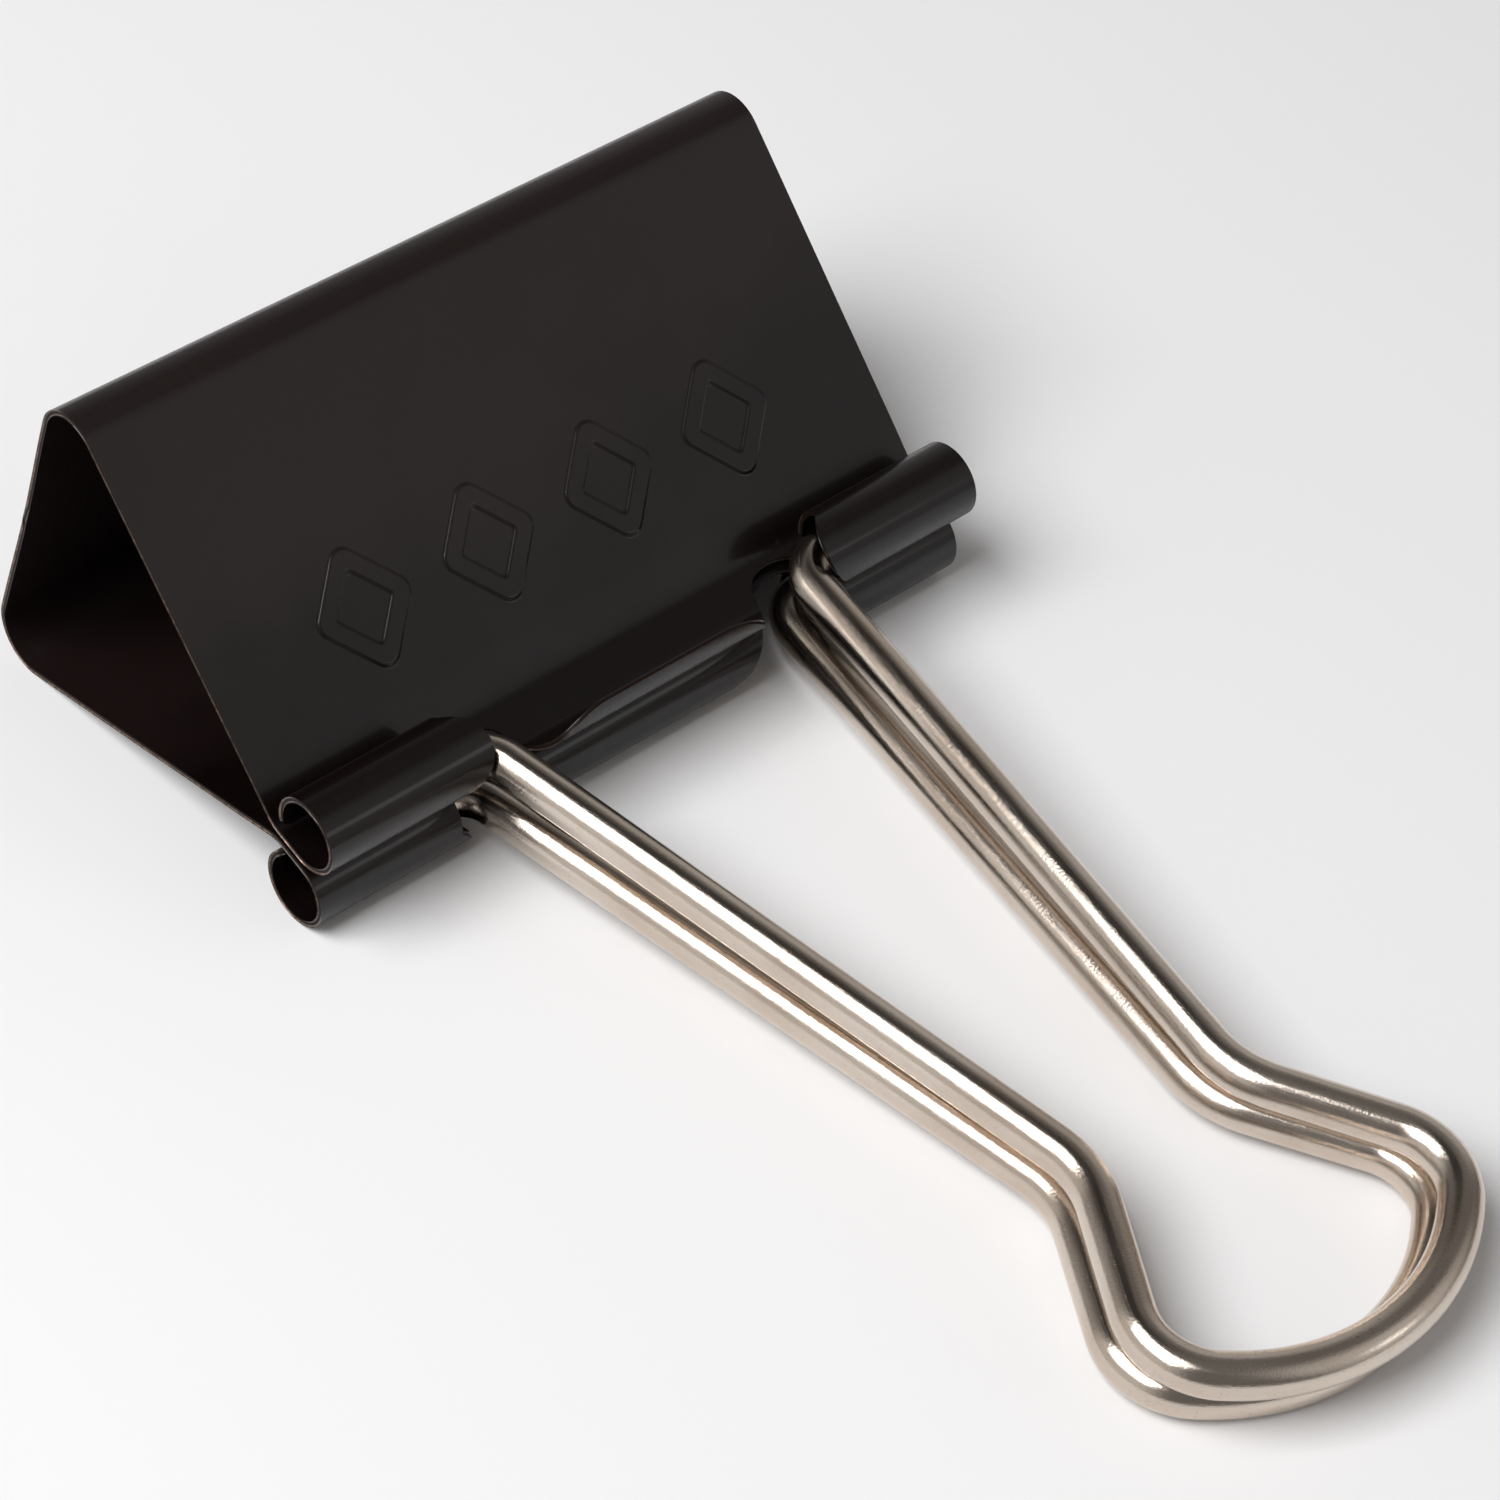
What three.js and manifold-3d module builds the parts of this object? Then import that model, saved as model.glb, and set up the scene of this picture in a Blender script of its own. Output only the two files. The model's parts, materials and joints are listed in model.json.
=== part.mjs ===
// Binder clip: a bent spring-steel body with rolled lips, and two wire handles that swing in the rolls.
// The clip lies at rest: the lower spine bend, the lower roll and the lower handle's tip touch z = 0.
// Inside the clip group, X runs across the clip, +Y points at the spine and z = 0 is the plane between
// the jaws.
import * as THREE from "three";
import { mergeVertices } from "three/addons/utils/BufferGeometryUtils.js";
import Module from "manifold-3d";

const wasm = await Module();
wasm.setup();

// ---- Driving dimensions, mm ----
const WIDTH = 51; // across the clip
const SHEET = 0.4; // spring-steel thickness
const BEND_Y = 25.2; // spine bend centre, back from the lips
const BEND_Z = 9.65; // spine bend centre, off the middle plane
const BEND_R = 2.55; // spine bend radius at mid-thickness
const SPINE_DISH = 0.15; // how far the middle of the spine sinks inwards
const HINGE_ANGLE = THREE.MathUtils.degToRad(60); // where the spine ends and a jaw begins, round the bend
const SPLIT = 0.3; // slot between spine and jaw

const LIP_GAP = 0.3; // clear space between the closed lips
const ROLL_Y = 0.45; // roll centre
const ROLL_R = 2.3; // roll radius at mid-thickness
const LIP_START = 3.0; // where the plate would meet the flat of the lip
const LIP_FILLET = 2.2;
const LIP_EASE = 3.0; // the plate eases into the lip over this length
const EASE_RISE = 0.04; // how far the plate bulges where that starts
const ROLL_END = THREE.MathUtils.degToRad(-42); // where an end roll's free edge stops
const TAB_END = THREE.MathUtils.degToRad(148); // where the middle tab's free edge stops
const LOWER_FORWARD = 0.5; // the lower lip reaches this much further forward

const ROLL_NOSE = 13.85; // inner end of a roll, at its furthest: an arm swings past it
const NOSE_ANGLE = THREE.MathUtils.degToRad(120); // where that is, round the roll
const NOSE_CURVE = 0.12; // how fast the roll's end draws back, mm per mm squared
const NOTCH_X = 12.4; // middle of the notch that a handle's arm passes through
const NOTCH_HALF = 2.4;
const NOTCH_TOP = 2.1; // how far back the notch's arch reaches
const LAP = 0.25; // how far a lip strip runs into the plate it is joined to
const TAB_EDGE = 6.3; // half-length of the middle tab's free edge
const TAB_SLANT = 0.6; // exponent of the tab's slanting ends

const WIRE_R = 1.35;
const FOOT_DROP = 0.33; // a foot lies this much nearer the middle plane than its roll's centre
const LOWER_FOOT_BACK = 0.5; // the lower foot lies this much behind its roll's centre
const FOOT_END = 21.0; // tip of a foot inside its roll
const ARM_X = 12.6; // where foot and arm would meet
const ARM_BEND = 2.8;
const NECK_X = 5.75;
const NECK_AT = 44.5; // along the handle from the foot's axis
const NECK_BEND = 7.0;
const FLARE = THREE.MathUtils.degToRad(30.3); // flare of the loop's shoulders
const LOOP_TIP = 62.1;
const LOOP_R = 14.7; // far end of the loop
const SHOULDER_BEND = 4.55;
const HANDLE_GAP = 0.2; // between the two handles at the loop's tip

const WIRE_SIDES = 12;
const WIRE_STEPS = 112;
const ARC_STEP = THREE.MathUtils.degToRad(15);

// ---- Helpers ----
function arcPoints(centre, radius, from, to, step = ARC_STEP) {
  const count = Math.max(2, Math.ceil(Math.abs(to - from) / step));
  const points = [];
  for (let i = 0; i <= count; i++) {
    const a = from + ((to - from) * i) / count;
    points.push(new THREE.Vector2(centre.x + radius * Math.cos(a), centre.y + radius * Math.sin(a)));
  }
  return points;
}

// Arc of radius r that rounds the corner at b between a and c.
function filletPoints(a, b, c, r, step = ARC_STEP) {
  const u = a.clone().sub(b).normalize();
  const v = c.clone().sub(b).normalize();
  const half = Math.acos(THREE.MathUtils.clamp(u.dot(v), -1, 1)) / 2;
  const centre = u.clone().add(v).normalize().multiplyScalar(r / Math.sin(half)).add(b);
  const start = u.multiplyScalar(r / Math.tan(half)).add(b).sub(centre).angle();
  const end = v.multiplyScalar(r / Math.tan(half)).add(b).sub(centre).angle();
  let turn = end - start;
  if (turn > Math.PI) turn -= 2 * Math.PI;
  if (turn < -Math.PI) turn += 2 * Math.PI;
  return arcPoints(centre, r, start, start + turn, step);
}

// Strip of sheet whose middle follows a (y, z) path, ruled along X between two ends that may vary along it.
function sheetSolid(path, startX, endX) {
  const positions = [];
  const put = (point, end) => positions.push(end(point.x, point.y), point.x, point.y);
  path.forEach((point, i) => {
    const before = path[Math.max(0, i - 1)];
    const after = path[Math.min(path.length - 1, i + 1)];
    const along = after.clone().sub(before).normalize();
    const side = new THREE.Vector2(-along.y, along.x).multiplyScalar(SHEET / 2);
    for (const face of [point.clone().add(side), point.clone().sub(side)]) {
      put(face, startX);
      put(face, endX);
    }
  });
  const indices = [];
  const quad = (a, b, c, d) => indices.push(a, b, c, a, c, d);
  for (let i = 0; i < path.length - 1; i++) {
    const here = 4 * i;
    const next = here + 4;
    quad(here, here + 1, next + 1, next);
    quad(here + 2, next + 2, next + 3, here + 3);
    quad(here + 3, next + 3, next + 1, here + 1);
    quad(here + 2, here, next, next + 2);
  }
  const last = 4 * (path.length - 1);
  quad(2, 3, 1, 0);
  quad(last + 2, last, last + 1, last + 3);
  const g = new THREE.BufferGeometry();
  g.setAttribute("position", new THREE.Float32BufferAttribute(positions, 3));
  g.setIndex(indices);
  return solidOf(g);
}

function fullWidthSolid(path) {
  return sheetSolid(path, () => -WIDTH / 2, () => WIDTH / 2);
}

function solidOf(geometry) {
  const m = mergeVertices(geometry, 1e-4);
  return new wasm.Manifold(
    new wasm.Mesh({
      numProp: 3,
      vertProperties: new Float32Array(m.attributes.position.array),
      triVerts: new Uint32Array(m.index.array),
    }),
  );
}

function geometryOf(solid) {
  const mesh = solid.getMesh();
  const g = new THREE.BufferGeometry();
  g.setAttribute("position", new THREE.BufferAttribute(new Float32Array(mesh.vertProperties), 3));
  g.setIndex(new THREE.BufferAttribute(new Uint32Array(mesh.triVerts), 1));
  g.computeVertexNormals();
  return g;
}

// ---- Sheet paths in the (y, z) plane ----
const bendCentre = new THREE.Vector2(BEND_Y, BEND_Z);

const lipZ = (LIP_GAP + SHEET) / 2; // mid-thickness of a closed lip

// Upper half of the sheet, from the hinge slot down the plate to the top of the notches.
function platePath(forward) {
  const knee = new THREE.Vector2(LIP_START - forward, lipZ);
  const toBend = bendCentre.clone().sub(knee);
  const slope = toBend.angle() + Math.asin(BEND_R / toBend.length());
  const reach = Math.sqrt(toBend.lengthSq() - BEND_R ** 2);
  const bendEnd = new THREE.Vector2(Math.cos(slope), Math.sin(slope)).multiplyScalar(reach).add(knee);
  const first = HINGE_ANGLE + SPLIT / 2 / BEND_R;
  const last = bendEnd.clone().sub(bendCentre).angle();
  const ahead = new THREE.Vector2(ROLL_Y - forward, lipZ);
  const ease = new THREE.Vector2(LIP_EASE, EASE_RISE).rotateAround(new THREE.Vector2(), slope).add(knee);
  return [
    ...arcPoints(bendCentre, BEND_R, first, last),
    ease,
    ...filletPoints(bendEnd, knee, ahead, LIP_FILLET),
    new THREE.Vector2(NOTCH_TOP - forward, lipZ),
  ];
}

// The lip from there on: the flat beside the notches, then round the roll.
function lipPath(forward, rollEnd) {
  const flat = [new THREE.Vector2(NOTCH_TOP - forward + LAP, lipZ)];
  const pieces = 6;
  for (let i = 0; i < pieces; i++) {
    const along = Math.cos((Math.PI / 2) * (i / pieces));
    flat.push(new THREE.Vector2(ROLL_Y - forward + (NOTCH_TOP - ROLL_Y) * along, lipZ));
  }
  const centre = new THREE.Vector2(ROLL_Y - forward, lipZ + ROLL_R);
  return [...flat, ...arcPoints(centre, ROLL_R, 1.5 * Math.PI, rollEnd)];
}

function spinePath() {
  const last = HINGE_ANGLE - SPLIT / 2 / BEND_R;
  const upper = arcPoints(bendCentre, BEND_R, last, 0);
  const wall = [];
  const pieces = 8;
  for (let i = 1; i < pieces; i++) {
    const z = BEND_Z * (1 - (2 * i) / pieces);
    const dish = (SPINE_DISH * (1 + Math.cos((Math.PI * z) / BEND_Z))) / 2;
    wall.push(new THREE.Vector2(BEND_Y + BEND_R - dish, z));
  }
  const lower = upper.map((p) => new THREE.Vector2(p.x, -p.y)).reverse();
  return [...upper, ...wall, ...lower];
}

// ---- Jaw solids ----
// How far the notch's arch is open at this depth, 0 at its top and 1 beside the roll.
function archOpening(y, forward) {
  const depth = THREE.MathUtils.clamp((y + forward - ROLL_Y) / (NOTCH_TOP - ROLL_Y), 0, 1);
  return Math.sqrt(1 - depth ** 2);
}

function rollAngle(y, z, forward) {
  const a = Math.atan2(z - lipZ - ROLL_R, y - ROLL_Y + forward);
  return a < -Math.PI / 2 ? a + 2 * Math.PI : a;
}

function onFlat(y, z, forward) {
  return y > ROLL_Y - forward - 1e-4 && z < lipZ + SHEET;
}

function rollInnerEnd(y, z, forward) {
  if (onFlat(y, z, forward)) return NOTCH_X + NOTCH_HALF * archOpening(y, forward);
  const away = (ROLL_R + SHEET / 2) * (rollAngle(y, z, forward) - NOSE_ANGLE);
  return Math.min(NOTCH_X + NOTCH_HALF, ROLL_NOSE + NOSE_CURVE * away ** 2);
}

function tabHalfLength(y, z, forward) {
  const foot = NOTCH_X - NOTCH_HALF;
  if (onFlat(y, z, forward)) return NOTCH_X - NOTCH_HALF * archOpening(y, forward);
  const round = (rollAngle(y, z, forward) - TAB_END) / (1.5 * Math.PI - TAB_END);
  return TAB_EDGE + (foot - TAB_EDGE) * THREE.MathUtils.clamp(round, 0, 1) ** TAB_SLANT;
}

function jawGeometry(forward) {
  const roll = lipPath(forward, ROLL_END);
  const tab = lipPath(forward, TAB_END);
  const half = (y, z) => tabHalfLength(y, z, forward);
  const nose = (y, z) => rollInnerEnd(y, z, forward);
  const jaw = fullWidthSolid(platePath(forward))
    .add(sheetSolid(tab, (y, z) => -half(y, z), half))
    .add(sheetSolid(roll, nose, () => WIDTH / 2))
    .add(sheetSolid(roll, () => -WIDTH / 2, (y, z) => -nose(y, z)));
  return geometryOf(jaw);
}

// ---- Wire handle, in its own frame: foot axis along X, arms running to -Y ----
function handlePath() {
  const foot = new THREE.Vector2(FOOT_END, 0);
  const corner = new THREE.Vector2(ARM_X, 0);
  const neck = new THREE.Vector2(NECK_X, NECK_AT);
  const flare = new THREE.Vector2(Math.sin(FLARE), Math.cos(FLARE));
  const inward = new THREE.Vector2(-Math.cos(FLARE), Math.sin(FLARE));
  const loopCentre = new THREE.Vector2(0, LOOP_TIP - LOOP_R);
  // The shoulder arc touches the flare line and the inside of the loop's far arc.
  const offset = neck.clone().addScaledVector(inward, SHOULDER_BEND).sub(loopCentre);
  const b = offset.dot(flare);
  const c = offset.lengthSq() - (LOOP_R - SHOULDER_BEND) ** 2;
  const run = -b + Math.sqrt(b * b - c);
  const shoulder = neck.clone().addScaledVector(inward, SHOULDER_BEND).addScaledVector(flare, run);
  const touch = shoulder.clone().addScaledVector(inward, -SHOULDER_BEND);
  const tip = shoulder.clone().sub(loopCentre).angle();
  const fine = THREE.MathUtils.degToRad(6);
  const half = [
    foot,
    ...filletPoints(foot, corner, neck, ARM_BEND, fine),
    ...filletPoints(corner, neck, touch, NECK_BEND, fine),
    ...arcPoints(shoulder, SHOULDER_BEND, touch.clone().sub(shoulder).angle() - 2 * Math.PI, tip, fine),
    ...arcPoints(loopCentre, LOOP_R, tip, Math.PI / 2, fine).slice(1),
  ];
  const other = half.slice(0, -1).reverse().map((p) => new THREE.Vector2(-p.x, p.y));
  return [...half, ...other].map((p) => new THREE.Vector3(p.x, -p.y, 0));
}

function handleGeometry() {
  const path = new THREE.CurvePath();
  const points = handlePath();
  for (let i = 1; i < points.length; i++) path.add(new THREE.LineCurve3(points[i - 1], points[i]));
  const ring = new THREE.Shape();
  ring.absarc(0, 0, WIRE_R, 0, 2 * Math.PI, false);
  return new THREE.ExtrudeGeometry(ring, {
    steps: WIRE_STEPS,
    curveSegments: WIRE_SIDES / 2, // a full circle takes twice this many
    extrudePath: path,
    bevelEnabled: false,
  });
}

// ---- Materials ----
const lacquer = { color: 0x1e1a1a, roughness: 0.42, metalness: 0.25 };
const nickel = { color: 0xb9aa99, roughness: 0.2, metalness: 1.0 };

function meshOf(name, geometry, finish) {
  const mesh = new THREE.Mesh(geometry, new THREE.MeshStandardMaterial(finish));
  mesh.name = name;
  return mesh;
}

// ---- Assembly ----
const root = new THREE.Group();
const clip = new THREE.Group();
root.add(clip);

clip.add(meshOf("spine", geometryOf(fullWidthSolid(spinePath())), lacquer));

const hingeY = BEND_Y + BEND_R * Math.cos(HINGE_ANGLE);
const hingeZ = BEND_Z + BEND_R * Math.sin(HINGE_ANGLE);
const footZ = lipZ + ROLL_R - FOOT_DROP;

// The surface the clip lies on touches the lower bend and the lower roll.
const bendOut = BEND_R + SHEET / 2;
const rollOut = ROLL_R + SHEET / 2;
const run = new THREE.Vector2(BEND_Y - ROLL_Y + LOWER_FORWARD, BEND_Z - lipZ - ROLL_R);
const tilt = run.angle() + Math.asin((bendOut - rollOut) / run.length());
const up = new THREE.Vector2(Math.sin(tilt), Math.cos(tilt));
const floor = BEND_Y * up.x - BEND_Z * up.y - bendOut;

// Each handle's slope above the middle plane: the lower one lies on the surface, the upper one on the lower.
const lowerFoot = new THREE.Vector2(ROLL_Y - LOWER_FORWARD + LOWER_FOOT_BACK, -footZ);
const upperFoot = new THREE.Vector2(ROLL_Y, footZ);
const lowerSlope = tilt - Math.asin((lowerFoot.dot(up) - floor - WIRE_R) / LOOP_TIP);
const square = new THREE.Vector2(Math.sin(lowerSlope), Math.cos(lowerSlope));
const apart = upperFoot.clone().sub(lowerFoot).dot(square);
const upperSlope = lowerSlope - Math.asin((apart - 2 * WIRE_R - HANDLE_GAP) / LOOP_TIP);

for (const jaw of ["upper", "lower"]) {
  const sign = jaw === "upper" ? 1 : -1;
  const forward = jaw === "upper" ? 0 : LOWER_FORWARD;
  const foot = jaw === "upper" ? upperFoot : lowerFoot;
  const slope = jaw === "upper" ? upperSlope : lowerSlope;

  // The lower jaw is the upper one turned half round about Y.
  const hinge = new THREE.Group();
  hinge.position.set(0, hingeY, sign * hingeZ);
  const plate = meshOf(jaw + "_jaw", jawGeometry(forward), lacquer);
  if (sign < 0) plate.rotation.y = Math.PI;
  plate.position.set(0, -hingeY, -sign * hingeZ);
  hinge.add(plate);
  clip.add(hinge);

  const pivot = new THREE.Group();
  pivot.position.set(0, foot.x - hingeY, foot.y - sign * hingeZ);
  pivot.rotation.x = -slope;
  pivot.add(meshOf(jaw + "_handle", handleGeometry(), nickel));
  hinge.add(pivot);
}

clip.rotation.x = tilt;
root.updateMatrixWorld(true);

// Origin: middle of the footprint, on the surface the clip lies on.
const box = new THREE.Box3().setFromObject(clip, true);
clip.position.set(0, -(box.min.y + box.max.y) / 2, -box.min.z);

export default root;
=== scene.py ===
import json
import math

import bpy
import numpy as np
from mathutils import Matrix, Quaternion, Vector, geometry


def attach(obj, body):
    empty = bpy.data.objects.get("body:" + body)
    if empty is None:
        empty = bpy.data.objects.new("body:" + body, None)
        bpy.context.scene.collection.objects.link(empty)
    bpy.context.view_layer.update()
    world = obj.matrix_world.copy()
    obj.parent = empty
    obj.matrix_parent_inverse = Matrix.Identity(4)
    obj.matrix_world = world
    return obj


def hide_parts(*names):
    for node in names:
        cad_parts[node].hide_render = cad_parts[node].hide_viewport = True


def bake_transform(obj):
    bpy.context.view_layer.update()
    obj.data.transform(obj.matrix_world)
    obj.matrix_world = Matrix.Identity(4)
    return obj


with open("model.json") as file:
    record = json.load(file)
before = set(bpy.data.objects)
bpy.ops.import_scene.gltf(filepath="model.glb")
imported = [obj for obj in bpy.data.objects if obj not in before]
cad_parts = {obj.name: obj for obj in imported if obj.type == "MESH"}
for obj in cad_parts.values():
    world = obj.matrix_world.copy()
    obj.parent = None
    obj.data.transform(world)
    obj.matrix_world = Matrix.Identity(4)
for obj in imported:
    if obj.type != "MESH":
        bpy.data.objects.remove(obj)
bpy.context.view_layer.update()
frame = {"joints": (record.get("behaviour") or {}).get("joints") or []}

MM = 0.001

# ---- Sheet-metal body, the CAD's own dimensions ----
WIDTH = 51.0
SHEET = 0.4
BEND_Y = 25.2
BEND_Z = 9.65
BEND_R = 2.55
SPINE_DISH = 0.15  # how far the spine's middle is drawn in
HINGE_ANGLE = math.radians(60)
LIP_GAP = 0.3
ROLL_Y = 0.45
ROLL_R = 2.3
LIP_START = 3.0
LIP_FILLET = 2.2
LIP_EASE = 3.0
EASE_RISE = 0.04
ROLL_START = math.radians(270)
ROLL_END = math.radians(-42)
TAB_END = math.radians(150)
LOWER_FORWARD = 0.5
NOTCH_X = 12.4
NOTCH_HALF = 2.4
NOTCH_TOP = 2.1
NOSE_X = 13.15  # inner end of a roll at its furthest; a real arm springs past it
NOSE_ANGLE = math.radians(120)
NOSE_CURVE = 0.155
NOSE_LIMIT = NOTCH_X + NOTCH_HALF
TAB_EDGE = 6.3
TAB_SLANT = 0.6
TAB_CORNER = 1.5  # rounding of a tab's free corners
ROLL_CORNER = 0.5
RIM = 0.08  # rounding of the cut edges
RUBBED = 0.04  # how far onto the cut face the rubbed corner reaches
HIDDEN_WEAR = 0.15  # how worn the edges between the rolls are, against the clip's two ends
INNER_WEAR = 0.25  # how worn an edge's inner corner is, against its outer one
MITRE_LIMIT = 1.4
SKIN = 0.005  # the lacquered faces lie this much inside the sheet's full thickness
HALVES_APART = 40.0  # third coordinate of sheet_at, so that the two halves' lacquer differs
LIP_Z = (LIP_GAP + SHEET) / 2  # height of each lip's middle over the plane between the jaws
TIGHT_STEP = 0.16  # mesh spacing round the spine's bends and the rolls
KNEE_STEP = 0.12
LIP_STEP = 0.2
EASE_STEP = 0.6
PLATE_STEP = 1.0
SPINE_STEP = 1.2
TAB_COLUMNS = 24  # quads across the middle tab, across each notch and across each roll
NOTCH_COLUMNS = 14
ROLL_COLUMNS = 12
EMBOSS_COLUMNS = 5  # how many of a roll's columns the embossed row's patch takes in

# ---- Wire handles ----
WIRE_R = 1.345
FOOT_END = 21.0
FOOT_CHAMFER = 0.3
FOOT_STUB = 0.8  # straight end piece of a foot
ARM_X = 12.6
ARM_BEND = 2.8
NECK_X = 5.75
NECK_AT = 44.5
NECK_BEND = 7.0
FLARE = math.radians(30.3)
LOOP_TIP = 62.1
LOOP_R = 14.7
SHOULDER_BEND = 4.55
HANDLE_GAP = 0.2
WIRE_SIDES = 48

# ---- Embossed row on the upper plate ----
EMBOSS_PITCH = 9.4
EMBOSS_COUNT = 4
EMBOSS_HALF_X = 3.7
EMBOSS_HALF_S = 4.4
EMBOSS_BAND = 1.35  # width of the raised outline
EMBOSS_RISE = 0.13
EMBOSS_SLOPE = 0.2  # how wide its sides are
EMBOSS_SOFT = 0.07  # flat margin that each side's shading blends into
EMBOSS_CORNER = 1.0  # rounding of the outline's outer corners
EMBOSS_TIGHTENING = 0.6  # how fast that rounding shrinks towards the inner outline
EMBOSS_INNER_CORNER = 0.25
EMBOSS_FROM_LIP = 8.0  # centre of the row, up the plate from the lip's knee
EMBOSS_PATCH = 5.4  # half the height of the part of the plate that is meshed round the row
EMBOSS_STEP = 0.9


def unit(v):
    return v / np.linalg.norm(v)


def unit_rows(v):
    return v / np.maximum(np.linalg.norm(v, axis=1), 1e-9)[:, None]


def arc(centre, radius, start, end, step):
    count = max(2, math.ceil(abs(end - start) / step))
    a = np.linspace(start, end, count + 1)
    return np.stack([centre[0] + radius * np.cos(a), centre[1] + radius * np.sin(a)], 1)


def fillet(a, b, c, r, step):
    """Arc of radius r that rounds the corner at b between a and c."""
    a, b, c = (np.asarray(p, float) for p in (a, b, c))
    u, v = unit(a - b), unit(c - b)
    half = math.acos(np.clip(u @ v, -1, 1)) / 2
    centre = b + unit(u + v) * r / math.sin(half)
    first = b + u * r / math.tan(half) - centre
    last = b + v * r / math.tan(half) - centre
    start = math.atan2(first[1], first[0])
    turn = (math.atan2(last[1], last[0]) - start + math.pi) % (2 * math.pi) - math.pi
    return arc(centre, r, start, start + turn, step)


# ---- Where the clip lies in the part's frame ----
run = np.array([BEND_Y - ROLL_Y + LOWER_FORWARD, BEND_Z - LIP_Z - ROLL_R])
tilt = math.atan2(run[1], run[0]) + math.asin((BEND_R - ROLL_R) / np.hypot(*run))
turn_clip = Matrix.Rotation(tilt, 3, "X")
hinges = {j["name"]: Vector(j["pos_m"]) / MM for j in frame["joints"]}


def bend_point(angle, side=1):
    """Clip-frame point on the middle of a spine bend. side is 1 for the upper bend."""
    return Vector((0, BEND_Y + BEND_R * math.cos(angle), side * (BEND_Z + BEND_R * math.sin(angle))))


clip_at = hinges["upper_jaw_hinge"] - turn_clip @ bend_point(HINGE_ANGLE)


def in_part(points):
    """Clip-frame points in mm, as part-frame points in metres."""
    return (np.asarray(points, float) @ np.array(turn_clip).T + np.array(clip_at)) * MM


# ---- The sheet's path, as a function of the length along it ----
class SheetPath:
    """One half of the sheet's middle line: the spine, a bend, a plate, a lip and then its roll."""

    FINE = math.radians(0.5)
    LINE_POINTS = 40

    def __init__(self, forward):
        bend = np.array([BEND_Y, BEND_Z])
        knee = np.array([LIP_START - forward, LIP_Z])
        reach = bend - knee
        slope = math.atan2(reach[1], reach[0]) + math.asin(BEND_R / np.hypot(*reach))
        along = np.array([math.cos(slope), math.sin(slope)])
        out = np.array([-along[1], along[0]])
        bend_end = knee + along * math.sqrt(reach @ reach - BEND_R**2)
        ease = knee + along * LIP_EASE + out * EASE_RISE
        ahead = np.array([ROLL_Y - forward, LIP_Z])
        wall_z = np.linspace(0, BEND_Z, 5 * self.LINE_POINTS)
        dish = SPINE_DISH * (1 + np.cos(np.pi * wall_z / BEND_Z)) / 2
        wall = np.stack([BEND_Y + BEND_R - dish, wall_z], 1)
        last = math.atan2(*(bend_end - bend)[::-1])
        pieces = [wall, arc(bend, BEND_R, 0, last, self.FINE)[1:], self.line(bend_end, ease)]
        round_knee = fillet(bend_end, knee, ahead, LIP_FILLET, self.FINE)
        pieces += [self.line(ease, round_knee[0]), round_knee, self.line(round_knee[-1], ahead)]
        centre = np.array([ROLL_Y - forward, LIP_Z + ROLL_R])
        pieces.append(arc(centre, ROLL_R, ROLL_START, ROLL_END, self.FINE)[1:])
        points = np.vstack(pieces)
        steps = np.r_[0, np.hypot(*np.diff(points, axis=0).T)]
        piece_ends = np.cumsum([len(piece) for piece in pieces]) - 1
        lengths = np.cumsum(steps)[piece_ends]
        self.points = points[(steps > 1e-6) | (np.arange(len(points)) == 0)]
        self.s = np.r_[0, np.cumsum(np.hypot(*np.diff(self.points, axis=0).T))]
        tangent = np.gradient(self.points, self.s, axis=0)
        tangent /= np.linalg.norm(tangent, axis=1)[:, None]
        self.out = np.stack([tangent[:, 1], -tangent[:, 0]], 1)
        self.bend = (lengths[0], lengths[1])
        self.ease, self.knee, self.roll = lengths[2], (lengths[3], lengths[4]), lengths[5]
        self.end = self.s[-1]
        self.tab_end = self.roll + ROLL_R * (ROLL_START - TAB_END)
        self.notch = self.roll - (NOTCH_TOP - ROLL_Y)

    def line(self, a, b):
        return a + (b - a) * np.linspace(0, 1, self.LINE_POINTS)[1:, None]

    def at(self, x, s, off):
        """Clip-frame points at x across, s along the sheet's middle and off outwards from it."""
        y, z = (np.interp(s, self.s, self.points[:, k]) + off * np.interp(s, self.s, self.out[:, k])
                for k in (0, 1))
        return np.stack([np.broadcast_to(x, y.shape), y, z], -1)

    def roll_angle(self, s):
        return ROLL_START - (s - self.roll) / ROLL_R


def stations(*spans):
    """Row or column places over spans of (start, end, step), with each span's ends kept."""
    found = [spans[0][0]]
    for start, end, step in spans:
        count = max(1, round(abs(end - start) / step))
        found += list(start + (end - start) * np.arange(1, count + 1) / count)
    return np.array(found)


def eased_end(start, end, corner, step, count=10):
    """Rows from start to end that crowd together in the last corner, where the outline turns."""
    a = np.linspace(0, math.pi / 2, count + 1)[1:]
    return np.r_[stations((start, end - corner, step)), end - corner + corner * np.sin(a)]


def corner_inset(s, end, corner):
    """How far a rounded corner draws the outline in at s."""
    t = np.clip((s - (end - corner)) / corner, 0, 1)
    return corner * (1 - np.sqrt(1 - t * t))


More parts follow.
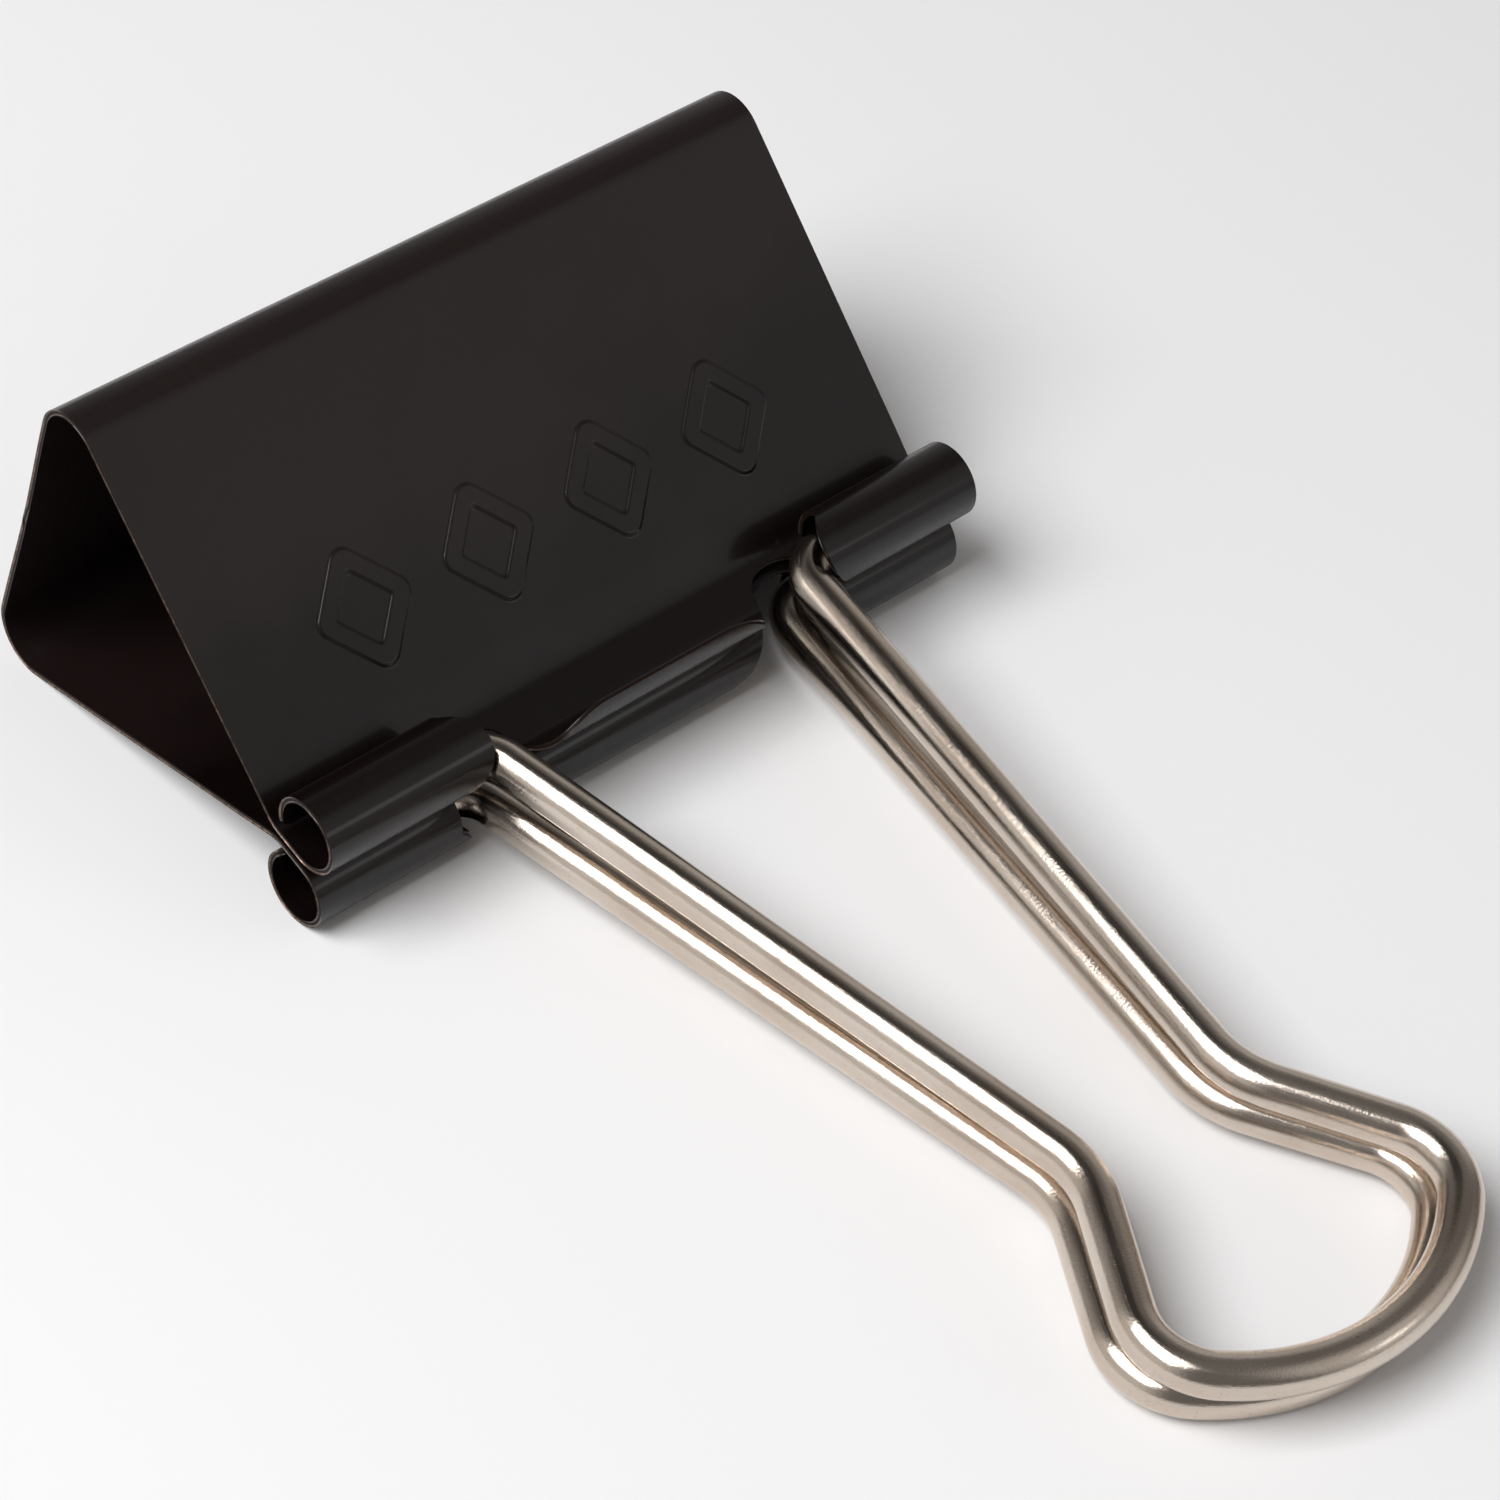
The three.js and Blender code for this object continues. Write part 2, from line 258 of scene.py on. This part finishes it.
class FlatMesh:
    """A mesh of points (x, s, rise) on the flattened sheet."""

    def __init__(self):
        self.points, self.faces, self.index = [], [], {}

    def vertex(self, x, s, rise=0.0):
        key = (round(x, 4), round(s, 4))
        if key not in self.index:
            self.index[key] = len(self.points)
            self.points.append((x, s, rise))
        return self.index[key]

    def grid(self, xs, ss, skip=None):
        """Quads over the arrays xs and ss, whose rows run along the sheet."""
        ids = [[self.vertex(x, s) for x, s in zip(*row)] for row in zip(xs, ss)]
        for i in range(len(ids) - 1):
            for j in range(len(ids[0]) - 1):
                face = [ids[i][j], ids[i][j + 1], ids[i + 1][j + 1], ids[i + 1][j]]
                middle = np.mean([self.points[k][:2] for k in face], axis=0)
                if len(set(face)) > 2 and not (skip and skip(*middle)):
                    self.faces.append([k for n, k in enumerate(face) if k != face[n - 1]])

    def strip(self, ends, rows, count):
        """Quads between two edges that are functions of s."""
        t = np.linspace(0, 1, count + 1)
        xs = [[ends[0](s) + (ends[1](s) - ends[0](s)) * u for u in t] for s in rows]
        self.grid(xs, [[s] * (count + 1) for s in rows])

    def boundary(self):
        """Boundary loops, each a list of vertex numbers with the mesh on one side."""
        seen = {}
        for f in self.faces:
            for a, b in zip(f, f[1:] + f[:1]):
                seen[(a, b)] = True
        after = {a: b for a, b in seen if (b, a) not in seen}
        loops = []
        while after:
            loop = [next(iter(after))]
            while loop[-1] in after:
                loop.append(after.pop(loop[-1]))
            loops.append(loop[:-1])
        return loops


def lozenge(centre, half_x, half_s, corner, count=10):
    """Rounded lozenge outline as (x, s) points, anticlockwise."""
    tips = [(half_x, 0), (0, half_s), (-half_x, 0), (0, -half_s)]
    outline = []
    for i in range(4):
        a, b, c = (np.array(tips[(i + k) % 4], float) for k in (-1, 0, 1))
        outline.append(fillet(a, b, c, corner, math.radians(8)))
    filled = []
    for i in range(4):
        start, end = outline[i][-1], outline[(i + 1) % 4][0]
        filled += [outline[i], start + (end - start) * np.linspace(0, 1, count + 1)[1:-1, None]]
    return np.vstack(filled) + np.array(centre)


def emboss_patch(flat, x_half, s_low, s_high, centre_s):
    """Fills a rectangle of the upper plate with a row of raised lozenge outlines."""
    on_edge = sorted({k for loop in flat.boundary() for k in loop})
    rim = [k for k in on_edge if abs(flat.points[k][0]) <= x_half + 1e-3
           and s_low - 1e-3 <= flat.points[k][1] <= s_high + 1e-3]
    points = [Vector(flat.points[k][:2]) for k in rim]
    heights = [0.0] * len(points)
    edges = []
    soft, side, rise = EMBOSS_SOFT, EMBOSS_SLOPE, EMBOSS_RISE
    profile = [(-soft, 0), (0, 0), (side / 2, rise / 2), (side, rise), (side + soft, rise)]
    rings = profile + [(EMBOSS_BAND - inset, height) for inset, height in reversed(profile)]
    tip = math.hypot(EMBOSS_HALF_X, EMBOSS_HALF_S)
    per_x, per_s = tip / EMBOSS_HALF_S, tip / EMBOSS_HALF_X
    for n in range(EMBOSS_COUNT):
        centre = (EMBOSS_PITCH * (n - (EMBOSS_COUNT - 1) / 2), centre_s)
        for inset, height in rings:
            corner = max(EMBOSS_INNER_CORNER, EMBOSS_CORNER - EMBOSS_TIGHTENING * inset)
            ring = lozenge(centre, EMBOSS_HALF_X - inset * per_x, EMBOSS_HALF_S - inset * per_s, corner)
            first = len(points)
            points += [Vector(p) for p in ring]
            heights += [height] * len(ring)
            edges += [(first + k, first + (k + 1) % len(ring)) for k in range(len(ring))]
    made = geometry.delaunay_2d_cdt(points, edges, [], 0, 1e-6, True)
    verts, faces, origins = made[0], made[2], made[3]
    ids = [flat.vertex(v[0], v[1], heights[o[0]] if o else 0.0) for v, o in zip(verts, origins)]
    for f in faces:
        a, b, c = (np.array(verts[k]) for k in f)
        turn = (b - a)[0] * (c - a)[1] - (b - a)[1] * (c - a)[0]
        face = [ids[k] for k in f]
        flat.faces.append(face if turn < 0 else face[::-1])


def body_outline(path):
    """The edges of the strips as functions of the length along the sheet."""
    half_width = WIDTH / 2 - RIM

    def roll_outer(s):
        return half_width - corner_inset(s, path.end - RIM, ROLL_CORNER)

    def roll_inner(s):
        away = (ROLL_R + SHEET / 2) * (path.roll_angle(s) - NOSE_ANGLE)
        nose = min(NOSE_LIMIT, NOSE_X + NOSE_CURVE * away**2)
        return nose + RIM + corner_inset(s, path.end - RIM, ROLL_CORNER)

    def tab_half(s):
        round_roll = np.clip((path.roll_angle(s) - TAB_END) / (ROLL_START - TAB_END), 0, 1)
        foot = NOTCH_X - NOTCH_HALF
        half = TAB_EDGE + (foot - TAB_EDGE) * round_roll**TAB_SLANT
        return half - RIM - corner_inset(s, path.tab_end - RIM, TAB_CORNER)

    return roll_outer, roll_inner, tab_half


def body_flat(path, embossed):
    """One half of the sheet laid out flat, with its notches, tab, rolls and perhaps its embossed row."""
    flat = FlatMesh()
    half_width = WIDTH / 2 - RIM
    notch_in, notch_out = NOTCH_X - NOTCH_HALF - RIM, NOSE_LIMIT + RIM
    centre_s = path.knee[0] - EMBOSS_FROM_LIP
    patch_low, patch_high = centre_s - EMBOSS_PATCH, centre_s + EMBOSS_PATCH
    rows = stations(
        (0, path.bend[0], SPINE_STEP),
        (*path.bend, TIGHT_STEP),
        (path.bend[1], patch_low, PLATE_STEP),
        (patch_low, patch_high, EMBOSS_STEP),
        (patch_high, path.ease, PLATE_STEP),
        (path.ease, path.knee[0], EASE_STEP),
        (*path.knee, KNEE_STEP),
        (path.knee[1], path.roll, LIP_STEP),
    )
    tab = np.linspace(-notch_in, notch_in, TAB_COLUMNS + 1)
    turn = np.linspace(0, math.pi, NOTCH_COLUMNS + 1)
    notch = notch_in + (notch_out - notch_in) * (1 - np.cos(turn)) / 2
    outer = notch_out + (half_width - notch_out) * np.linspace(0, 1, ROLL_COLUMNS + 1)
    patch_half = outer[EMBOSS_COLUMNS]

    def in_patch(x, s):
        return embossed and abs(x) < patch_half and patch_low < s < patch_high

    for xs in (tab, outer, -outer[::-1]):
        flat.grid([xs] * len(rows), [[s] * len(xs) for s in rows], in_patch)
    # Beside the middle tab the rows close up towards the notch's arch.
    half = (notch_out - notch_in) / 2
    middle = (notch_out + notch_in) / 2
    depth = path.roll - path.notch
    arch = path.roll - depth * np.sqrt(np.clip(1 - ((notch - middle) / half) ** 2, 0, 1)) - RIM
    arch[[0, -1]] = path.roll
    share = np.clip((rows - patch_high) / (path.roll - patch_high), 0, 1)[:, None]
    ss = rows[:, None] * np.ones(len(notch)) + share * (arch - path.roll)
    flat.grid([notch] * len(rows), ss, in_patch)
    flat.grid([-notch[::-1]] * len(rows), ss[:, ::-1], in_patch)
    roll_outer, roll_inner, tab_half = body_outline(path)
    roll_rows = eased_end(path.roll, path.end - RIM, ROLL_CORNER, TIGHT_STEP)
    tab_rows = eased_end(path.roll, path.tab_end - RIM, TAB_CORNER, TIGHT_STEP)
    flat.strip((roll_inner, roll_outer), roll_rows, ROLL_COLUMNS)
    flat.strip((lambda s: -roll_outer(s), lambda s: -roll_inner(s)), roll_rows, ROLL_COLUMNS)
    flat.strip((lambda s: -tab_half(s), tab_half), tab_rows, TAB_COLUMNS)
    if embossed:
        emboss_patch(flat, patch_half, patch_low, patch_high, centre_s)
    return flat


def make_object(name, points, faces, attributes=(), sharp=()):
    mesh = bpy.data.meshes.new(name)
    mesh.from_pydata([tuple(p) for p in points], [], faces)
    mesh.validate()
    for label, kind, values in attributes:
        layer = mesh.attributes.new(label, kind, "POINT")
        field = "vector" if kind == "FLOAT_VECTOR" else "value"
        layer.data.foreach_set(field, np.ravel(values).astype(np.float32))
    mesh.shade_smooth()
    if sharp:
        wanted = {tuple(sorted(e)) for e in sharp}
        layer = mesh.attributes.new("sharp_edge", "BOOLEAN", "EDGE")
        layer.data.foreach_set("value", [tuple(sorted(e.vertices)) in wanted for e in mesh.edges])
    mesh.update()
    obj = bpy.data.objects.new(name, mesh)
    bpy.context.scene.collection.objects.link(obj)
    return obj


def edge_rings(half):
    """Steps round a cut edge, from face to face: how far out of the outline, how high off the middle."""
    quarter = [a * math.pi / 6 for a in range(4)]
    rings = [(RIM * math.sin(a), half - RIM * (1 - math.cos(a))) for a in quarter]
    rings.append((RIM, half - RIM - RUBBED))
    return rings + [(beyond, -off) for beyond, off in reversed(rings)]


def outline_normals(outline):
    """At each point of a closed outline, the way out of it, and how much a corner lengthens that way."""
    to = unit_rows(np.roll(outline, -1, 0) - outline)
    through = to + np.roll(to, 1, 0)
    normal = unit_rows(np.stack([-through[:, 1], through[:, 0]], 1))
    square = np.stack([-to[:, 1], to[:, 0]], 1)
    mitre = np.clip(1 / np.maximum(0.5, np.einsum("ij,ij->i", normal, square)), 1, MITRE_LIMIT)
    # The middle of the spine is a seam between the two halves, with no edge to round.
    seam = outline[:, 1] < 1e-6
    corner = abs(outline[seam, 0]) > WIDTH / 2 - 1
    normal[seam] = np.stack([np.sign(outline[seam, 0]) * corner, 0 * outline[seam, 0]], 1)
    mitre[seam] = 1.0
    return normal, mitre


def edge_wear(at, off, half, knee):
    """-1 on the cut face, and up to 1 on a corner that is rubbed bare. The lacquered faces are 0."""
    rubbed = np.where(np.abs(at[:, 0]) > WIDTH / 2 - 2 * RIM, 1.0, HIDDEN_WEAR)
    # The corner that faces out is rubbed most; the sheet turns over where it curls into a roll.
    faces_out = np.where(at[:, 1] > knee, -off, off) > 0
    return np.where(abs(off) > half - RIM - 1e-6, rubbed * np.where(faces_out, 1.0, INNER_WEAR), -1.0)


def sheet_body(name, forward, side):
    """One half of the sheet body as a closed solid with rounded cut edges. side is 1 for the upper half."""
    path = SheetPath(forward)
    flat = body_flat(path, embossed=side > 0)
    base = np.array(flat.points)
    count = len(base)
    half = SHEET / 2 - SKIN
    rings = edge_rings(half)
    points = [path.at(base[:, 0], base[:, 1], base[:, 2] + off) for off in (half, -half)]
    flat_at = [base[:, :2], base[:, :2]]
    edge = [np.zeros(2 * count)]
    faces = [list(f) for f in flat.faces] + [[k + count for k in reversed(f)] for f in flat.faces]
    sharp = []
    total = 2 * count
    for loop in flat.boundary():
        outline = base[loop, :2]
        normal, mitre = outline_normals(outline)
        ids = [loop]
        for beyond, off in rings[1:-1]:
            at = outline + normal * (beyond * mitre)[:, None]
            points.append(path.at(at[:, 0], at[:, 1], off))
            flat_at.append(at)
            edge.append(edge_wear(at, off, half, path.knee[0]))
            ids.append(list(range(total, total + len(loop))))
            total += len(loop)
        ids.append([k + count for k in loop])
        for k in range(len(loop)):
            n = (k + 1) % len(loop)
            faces += [[a[k], a[n], b[n], b[k]] for a, b in zip(ids, ids[1:])]
            sharp += [(ids[0][k], ids[0][n]), (ids[-1][k], ids[-1][n])]
    points = np.vstack(points)
    points[:, 2] *= side
    if side > 0:
        faces = [f[::-1] for f in faces]
    sheet_at = np.column_stack([np.vstack(flat_at), np.full(len(points), HALVES_APART * side)])
    attributes = [("sheet_at", "FLOAT_VECTOR", sheet_at), ("cut_edge", "FLOAT", np.concatenate(edge))]
    return make_object(name, in_part(points), faces, attributes, sharp)


# ---- Wire handles ----
def handle_line():
    """Centre line of a handle in its own plane: x across, and the distance from the foot's axis."""
    fine = math.radians(3)
    corner, neck = np.array([ARM_X, 0.0]), np.array([NECK_X, NECK_AT])
    flare = np.array([math.sin(FLARE), math.cos(FLARE)])
    inward = np.array([-flare[1], flare[0]])
    loop = np.array([0, LOOP_TIP - LOOP_R])
    offset = neck + inward * SHOULDER_BEND - loop
    b, c = offset @ flare, offset @ offset - (LOOP_R - SHOULDER_BEND) ** 2
    shoulder = neck + inward * SHOULDER_BEND + flare * (math.sqrt(b * b - c) - b)
    touch = shoulder - inward * SHOULDER_BEND
    tip = math.atan2(*(shoulder - loop)[::-1])
    start = math.atan2(*(touch - shoulder)[::-1])
    half = np.vstack([
        [[FOOT_END, 0], [FOOT_END - FOOT_STUB, 0]],
        fillet([FOOT_END, 0], corner, neck, ARM_BEND, fine),
        fillet(corner, neck, touch, NECK_BEND, fine),
        arc(shoulder, SHOULDER_BEND, start, tip, fine),
        arc(loop, LOOP_R, tip, math.pi / 2, fine)[1:],
    ])
    keep = np.r_[True, np.hypot(*np.diff(half, axis=0).T) > 1e-6]
    half = half[keep]
    return np.vstack([half, half[-2::-1] * [-1, 1]])


def wire_handle(name, pivot, slope):
    """A handle as a round wire along its centre line, sloping down from its pivot."""
    line = handle_line()
    s = np.r_[0, np.cumsum(np.hypot(*np.diff(line, axis=0).T))]
    tangent = unit_rows(np.gradient(line, s, axis=0))
    across = np.stack([-tangent[:, 1], tangent[:, 0]], 1)
    # Each foot ends in a rounded shear cut.
    cut = [(FOOT_CHAMFER * (1 - math.sin(a)), WIRE_R - FOOT_CHAMFER * (1 - math.cos(a)))
           for a in np.linspace(math.pi / 2, 0, 5)]
    rings = [(line[0] + tangent[0] * d, across[0], s[0] + d, r) for d, r in cut]
    rings += [(line[i], across[i], s[i], WIRE_R) for i in range(1, len(line) - 1)]
    rings += [(line[-1] - tangent[-1] * d, across[-1], s[-1] - d, r) for d, r in reversed(cut)]
    angles = 2 * math.pi * np.arange(WIRE_SIDES) / WIRE_SIDES
    points, where = [], []
    for at, side, length, r in rings:
        for t in angles:
            off = at + side * r * math.cos(t)
            points.append((off[0], -off[1], r * math.sin(t)))
            where.append((length, r * math.cos(t), r * math.sin(t)))
    faces = []
    last = (len(rings) - 1) * WIRE_SIDES
    for a in range(0, last, WIRE_SIDES):
        b = a + WIRE_SIDES
        for k in range(WIRE_SIDES):
            n = (k + 1) % WIRE_SIDES
            faces.append([a + k, a + n, b + n, b + k])
    for first, (at, _, length, _), flip in ((0, rings[0], False), (last, rings[-1], True)):
        centre = len(points)
        points.append((at[0], -at[1], 0))
        where.append((length, 0, 0))
        for k in range(WIRE_SIDES):
            face = [centre, first + (k + 1) % WIRE_SIDES, first + k]
            faces.append(face[::-1] if flip else face)
    points = (np.array(points) @ np.array(Matrix.Rotation(slope, 3, "X")).T + np.array(pivot)) * MM
    return make_object(name, points, faces, [("wire_at", "FLOAT_VECTOR", where)])


def handle_slopes():
    """How far the two handles slope down: the lower lies on the floor, the upper on the lower."""
    lower, upper = hinges["lower_handle_hinge"], hinges["upper_handle_hinge"]
    low = math.asin((lower.z - WIRE_R) / LOOP_TIP)
    apart = (upper - lower).dot(Vector((0, -math.sin(low), math.cos(low))))
    return low, low + math.asin((apart - 2 * WIRE_R - HANDLE_GAP) / LOOP_TIP)


# ---- Materials ----
class Nodes:
    """Short names for building one material's node tree."""

    def __init__(self, name):
        self.material = bpy.data.materials.new(name)
        self.material.use_nodes = True
        self.tree = self.material.node_tree
        self.tree.nodes.clear()
        self.shader = self.node("BsdfPrincipled")
        self.link(self.shader, "BSDF", self.node("OutputMaterial"), "Surface")

    def node(self, kind, **settings):
        made = self.tree.nodes.new("ShaderNode" + kind)
        for key, value in settings.items():
            setattr(made, key, value)
        return made

    def link(self, a, out, b, socket):
        self.tree.links.new(a.outputs[out], b.inputs[socket])

    def put(self, node, socket, value):
        """A linked (node, output) pair or a constant into a socket."""
        if isinstance(value, tuple) and hasattr(value[0], "outputs"):
            self.link(value[0], value[1], node, socket)
        else:
            node.inputs[socket].default_value = value

    def place(self, name, scale):
        at = self.node("Attribute", attribute_name=name)
        mapping = self.node("Mapping")
        self.link(at, "Vector", mapping, "Vector")
        mapping.inputs["Scale"].default_value = scale
        return mapping, "Vector"

    def noise(self, place, scale, detail=3.0, roughness=0.5):
        made = self.node("TexNoise")
        self.put(made, "Vector", place)
        for socket, value in (("Scale", scale), ("Detail", detail), ("Roughness", roughness)):
            made.inputs[socket].default_value = value
        return made, "Fac"

    def ramp(self, value, low, high, to_low=0.0, to_high=1.0):
        made = self.node("MapRange", interpolation_type="SMOOTHSTEP")
        self.put(made, "Value", value)
        made.inputs["From Min"].default_value = low
        made.inputs["From Max"].default_value = high
        made.inputs["To Min"].default_value = to_low
        made.inputs["To Max"].default_value = to_high
        return made, "Result"

    def math(self, operation, a, b):
        made = self.node("Math", operation=operation)
        self.put(made, 0, a)
        self.put(made, 1, b)
        return made, "Value"

    def mix(self, factor, a, b):
        made = self.node("Mix", data_type="RGBA")
        self.put(made, 0, factor)
        self.put(made, 6, a)
        self.put(made, 7, b)
        return made, 2

    def bump(self, height, distance, strength=1.0, normal=None):
        made = self.node("Bump")
        self.put(made, "Height", height)
        made.inputs["Distance"].default_value = distance
        made.inputs["Strength"].default_value = strength
        if normal:
            self.put(made, "Normal", normal)
        return made, "Normal"

    def finish(self, **values):
        for socket, value in values.items():
            self.put(self.shader, socket.replace("_", " "), value)
        return self.material


def lacquer_material():
    """Black lacquer with a faint orange peel and painted shade that darkens it towards the lips, dull on
    the cut faces and rubbed off their corners.
    """
    n = Nodes("black_lacquer")
    near = n.place("sheet_at", (1, 1, 1))
    streaked = n.place("sheet_at", (6, 0.5, 1))
    edge = n.node("Attribute", attribute_name="cut_edge")
    on_edge = (edge, "Fac")
    bare = n.ramp(on_edge, 0.0, 0.6)
    cut = n.ramp(on_edge, -0.8, 0.0, 1.0, 0.0)
    clouds = n.noise(near, 0.09, 4.0, 0.55)
    grain = n.noise(near, 2.6, 3.0, 0.6)
    streaks = n.noise(streaked, 0.8, 3.0, 0.6)
    along = n.node("SeparateXYZ")
    n.put(along, "Vector", near)
    # Painted shade: the base colour darkens along the sheet from the bend towards the lips and rolls,
    # mottled by cloudy noise.
    painted_lip_shade_and_mottle = n.math("ADD", n.ramp((along, "Y"), 18.0, 36.0), n.ramp(clouds, 0.35, 0.65, -0.25, 0.25))
    base = n.mix(n.ramp(painted_lip_shade_and_mottle, 0.0, 1.0), (0.0092, 0.0050, 0.0048, 1), (0.0024, 0.0006, 0.0006, 1))
    base = n.mix(cut, base, (0.012, 0.007, 0.005, 1))
    chips = n.noise(near, 0.9, 4.0, 0.7)
    wear = n.math("MULTIPLY", bare, n.ramp(chips, 0.38, 0.62, 0.25, 1.0))
    worn = n.mix(n.ramp(grain, 0.3, 0.7), (0.10, 0.058, 0.038, 1), (0.30, 0.20, 0.145, 1))
    rough = n.math("ADD", n.ramp(clouds, 0.3, 0.7, 0.34, 0.44), n.ramp(streaks, 0.3, 0.7, -0.03, 0.05))
    peel = n.bump(grain, 0.006 * MM, 0.6)
    wavy = n.bump(n.noise(near, 0.35, 2.0, 0.5), 0.012 * MM, 0.6, peel)
    return n.finish(
        Base_Color=n.mix(wear, base, worn),
        Metallic=n.math("MULTIPLY", wear, 0.85),
        Roughness=rough,
        Specular_IOR_Level=n.ramp(on_edge, -0.8, 0.0, 0.05, 0.20),
        Coat_Weight=n.ramp(on_edge, -0.8, 0.0, 0.0, 0.42),
        Coat_Roughness=0.12,
        Normal=wavy,
    )


def nickel_material():
    """Warm nickel plate over drawn wire, with fine lines along it and small dull pits."""
    n = Nodes("nickel_wire")
    drawn = n.place("wire_at", (0.22, 5.0, 5.0))
    near = n.place("wire_at", (1, 1, 1))
    far = n.place("wire_at", (0.12, 0.4, 0.4))
    lines = n.noise(drawn, 1.6, 4.0, 0.65)
    pits = n.noise(near, 7.0, 3.0, 0.6)
    clouds = n.noise(far, 1.0, 3.0, 0.5)
    base = n.mix(n.ramp(clouds, 0.35, 0.7), (0.68, 0.60, 0.525, 1), (0.58, 0.49, 0.41, 1))
    base = n.mix(n.ramp(pits, 0.60, 0.74), base, (0.42, 0.34, 0.27, 1))
    rough = n.math("ADD", n.ramp(lines, 0.3, 0.7, 0.10, 0.20), n.ramp(pits, 0.55, 0.75, 0.0, 0.12))
    scratches = n.bump(lines, 0.012 * MM, 0.5)
    speckle = n.bump(pits, 0.02 * MM, 0.5, scratches)
    return n.finish(Base_Color=base, Metallic=1.0, Roughness=rough, Normal=speckle)


lacquer, nickel = lacquer_material(), nickel_material()

# ---- The pieces ----
for name, forward, side in (("upper", 0.0, 1), ("lower", LOWER_FORWARD, -1)):
    body = name + "_jaw"
    piece = sheet_body("body_" + name, forward, side)
    piece.data.materials.append(lacquer)
    if side > 0:
        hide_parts(body, "spine")
    else:
        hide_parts(body)
    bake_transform(piece)

for name, slope in zip(("lower", "upper"), handle_slopes()):
    body = name + "_handle"
    piece = wire_handle("wire_" + name, hinges[body + "_hinge"], slope)
    piece.data.materials.append(nickel)
    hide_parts(body)
    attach(piece, body)


# ---- Floor, light and camera, in metres ----
FLOOR_HALF = 3.0
FLOOR_DROP = 0.02 * MM  # keeps the floor's face clear of the clip's lowest points
corner_signs = ((-1, -1), (1, -1), (1, 1), (-1, 1))
floor_corners = [(x * FLOOR_HALF, y * FLOOR_HALF, -FLOOR_DROP) for x, y in corner_signs]
floor = make_object("floor", floor_corners, [(0, 1, 2, 3)])
floor.data.materials.append(Nodes("pale_floor").finish(Base_Color=(0.84, 0.84, 0.85, 1), Roughness=0.8))


def heading(azimuth, elevation):
    """Unit vector towards a part of the studio. Azimuth 0 is in front, towards -Y, and 90 is at +X."""
    a, e = math.radians(azimuth), math.radians(elevation)
    return Vector((math.sin(a) * math.cos(e), -math.cos(a) * math.cos(e), math.sin(e)))


# How bright the studio is all round, and what stands out from that: where it is, the cosines of the angles
# from there at which it starts and is at its full strength, and that strength.
STUDIO_BASE = 0.16
STUDIO_TINT = (1.0, 0.97, 0.94, 1)
STUDIO = [
    (heading(-112, 12), 0.60, 0.95, 0.50),
    (heading(34, 30), 0.74, 0.97, 0.40),
    (heading(122, 12), 0.80, 0.97, 0.28),
    (heading(168, 60), 0.90, 0.985, -0.12),
]


def studio_world():
    """A world that is bright in the directions of the studio's lights and white walls."""
    world = bpy.data.worlds.new("studio")
    world.use_nodes = True
    tree = world.node_tree
    where = tree.nodes.new("ShaderNodeTexCoord").outputs["Generated"]
    total = None
    for towards, low, high, amount in STUDIO:
        dot = tree.nodes.new("ShaderNodeVectorMath")
        dot.operation = "DOT_PRODUCT"
        tree.links.new(where, dot.inputs[0])
        dot.inputs[1].default_value = towards
        lobe = tree.nodes.new("ShaderNodeMapRange")
        lobe.interpolation_type = "SMOOTHSTEP"
        tree.links.new(dot.outputs["Value"], lobe.inputs["Value"])
        for socket, number in (("From Min", low), ("From Max", high), ("To Min", 0.0), ("To Max", amount)):
            lobe.inputs[socket].default_value = number
        add = tree.nodes.new("ShaderNodeMath")
        add.inputs[1].default_value = STUDIO_BASE
        tree.links.new(lobe.outputs["Result"], add.inputs[0])
        if total:
            tree.links.new(total, add.inputs[1])
        total = add.outputs["Value"]
    background = tree.nodes["Background"]
    background.inputs["Color"].default_value = STUDIO_TINT
    tree.links.new(total, background.inputs["Strength"])
    return world


bpy.context.scene.world = studio_world()
LIT_POINT = Vector((0.0, 0.0, 0.008))


def softbox(name, azimuth, elevation, distance, size, power):
    """An area light that faces the clip."""
    towards = heading(azimuth, elevation)
    light = bpy.data.lights.new(name, "AREA")
    light.shape = "RECTANGLE"
    light.size, light.size_y = size
    light.energy = power
    obj = bpy.data.objects.new(name, light)
    obj.location = LIT_POINT + towards * distance
    obj.rotation_mode = "QUATERNION"
    obj.rotation_quaternion = (-towards).to_track_quat("-Z", "Y")
    bpy.context.scene.collection.objects.link(obj)


softbox("key", -102, 54, 0.7, (0.50, 0.44), 5.4)
softbox("strip", 31, 24, 0.9, (0.20, 0.16), 0.14)

CAMERA_AT = Vector((-137.85, -125.76, 196.63)) * MM
CAMERA_AIM = Vector((-1.80, 2.13, 10.02)) * MM
CAMERA_ROLL = math.radians(6.5)
CAMERA_SHIFT = (-0.0239, 0.0146)
CAMERA_RANGE = (0.01, 20.0)
LENS, SENSOR = 109.75, 36.0
camera = bpy.data.objects.new("camera", bpy.data.cameras.new("camera"))
bpy.context.scene.collection.objects.link(camera)
camera.location = CAMERA_AT
camera.rotation_mode = "QUATERNION"
level = (CAMERA_AIM - CAMERA_AT).to_track_quat("-Z", "Y")
camera.rotation_quaternion = level @ Quaternion((0, 0, 1), CAMERA_ROLL)
camera.data.lens, camera.data.sensor_width = LENS, SENSOR
camera.data.shift_x, camera.data.shift_y = CAMERA_SHIFT
camera.data.clip_start, camera.data.clip_end = CAMERA_RANGE
bpy.context.scene.camera = camera
bpy.context.scene.view_settings.view_transform = "Standard"
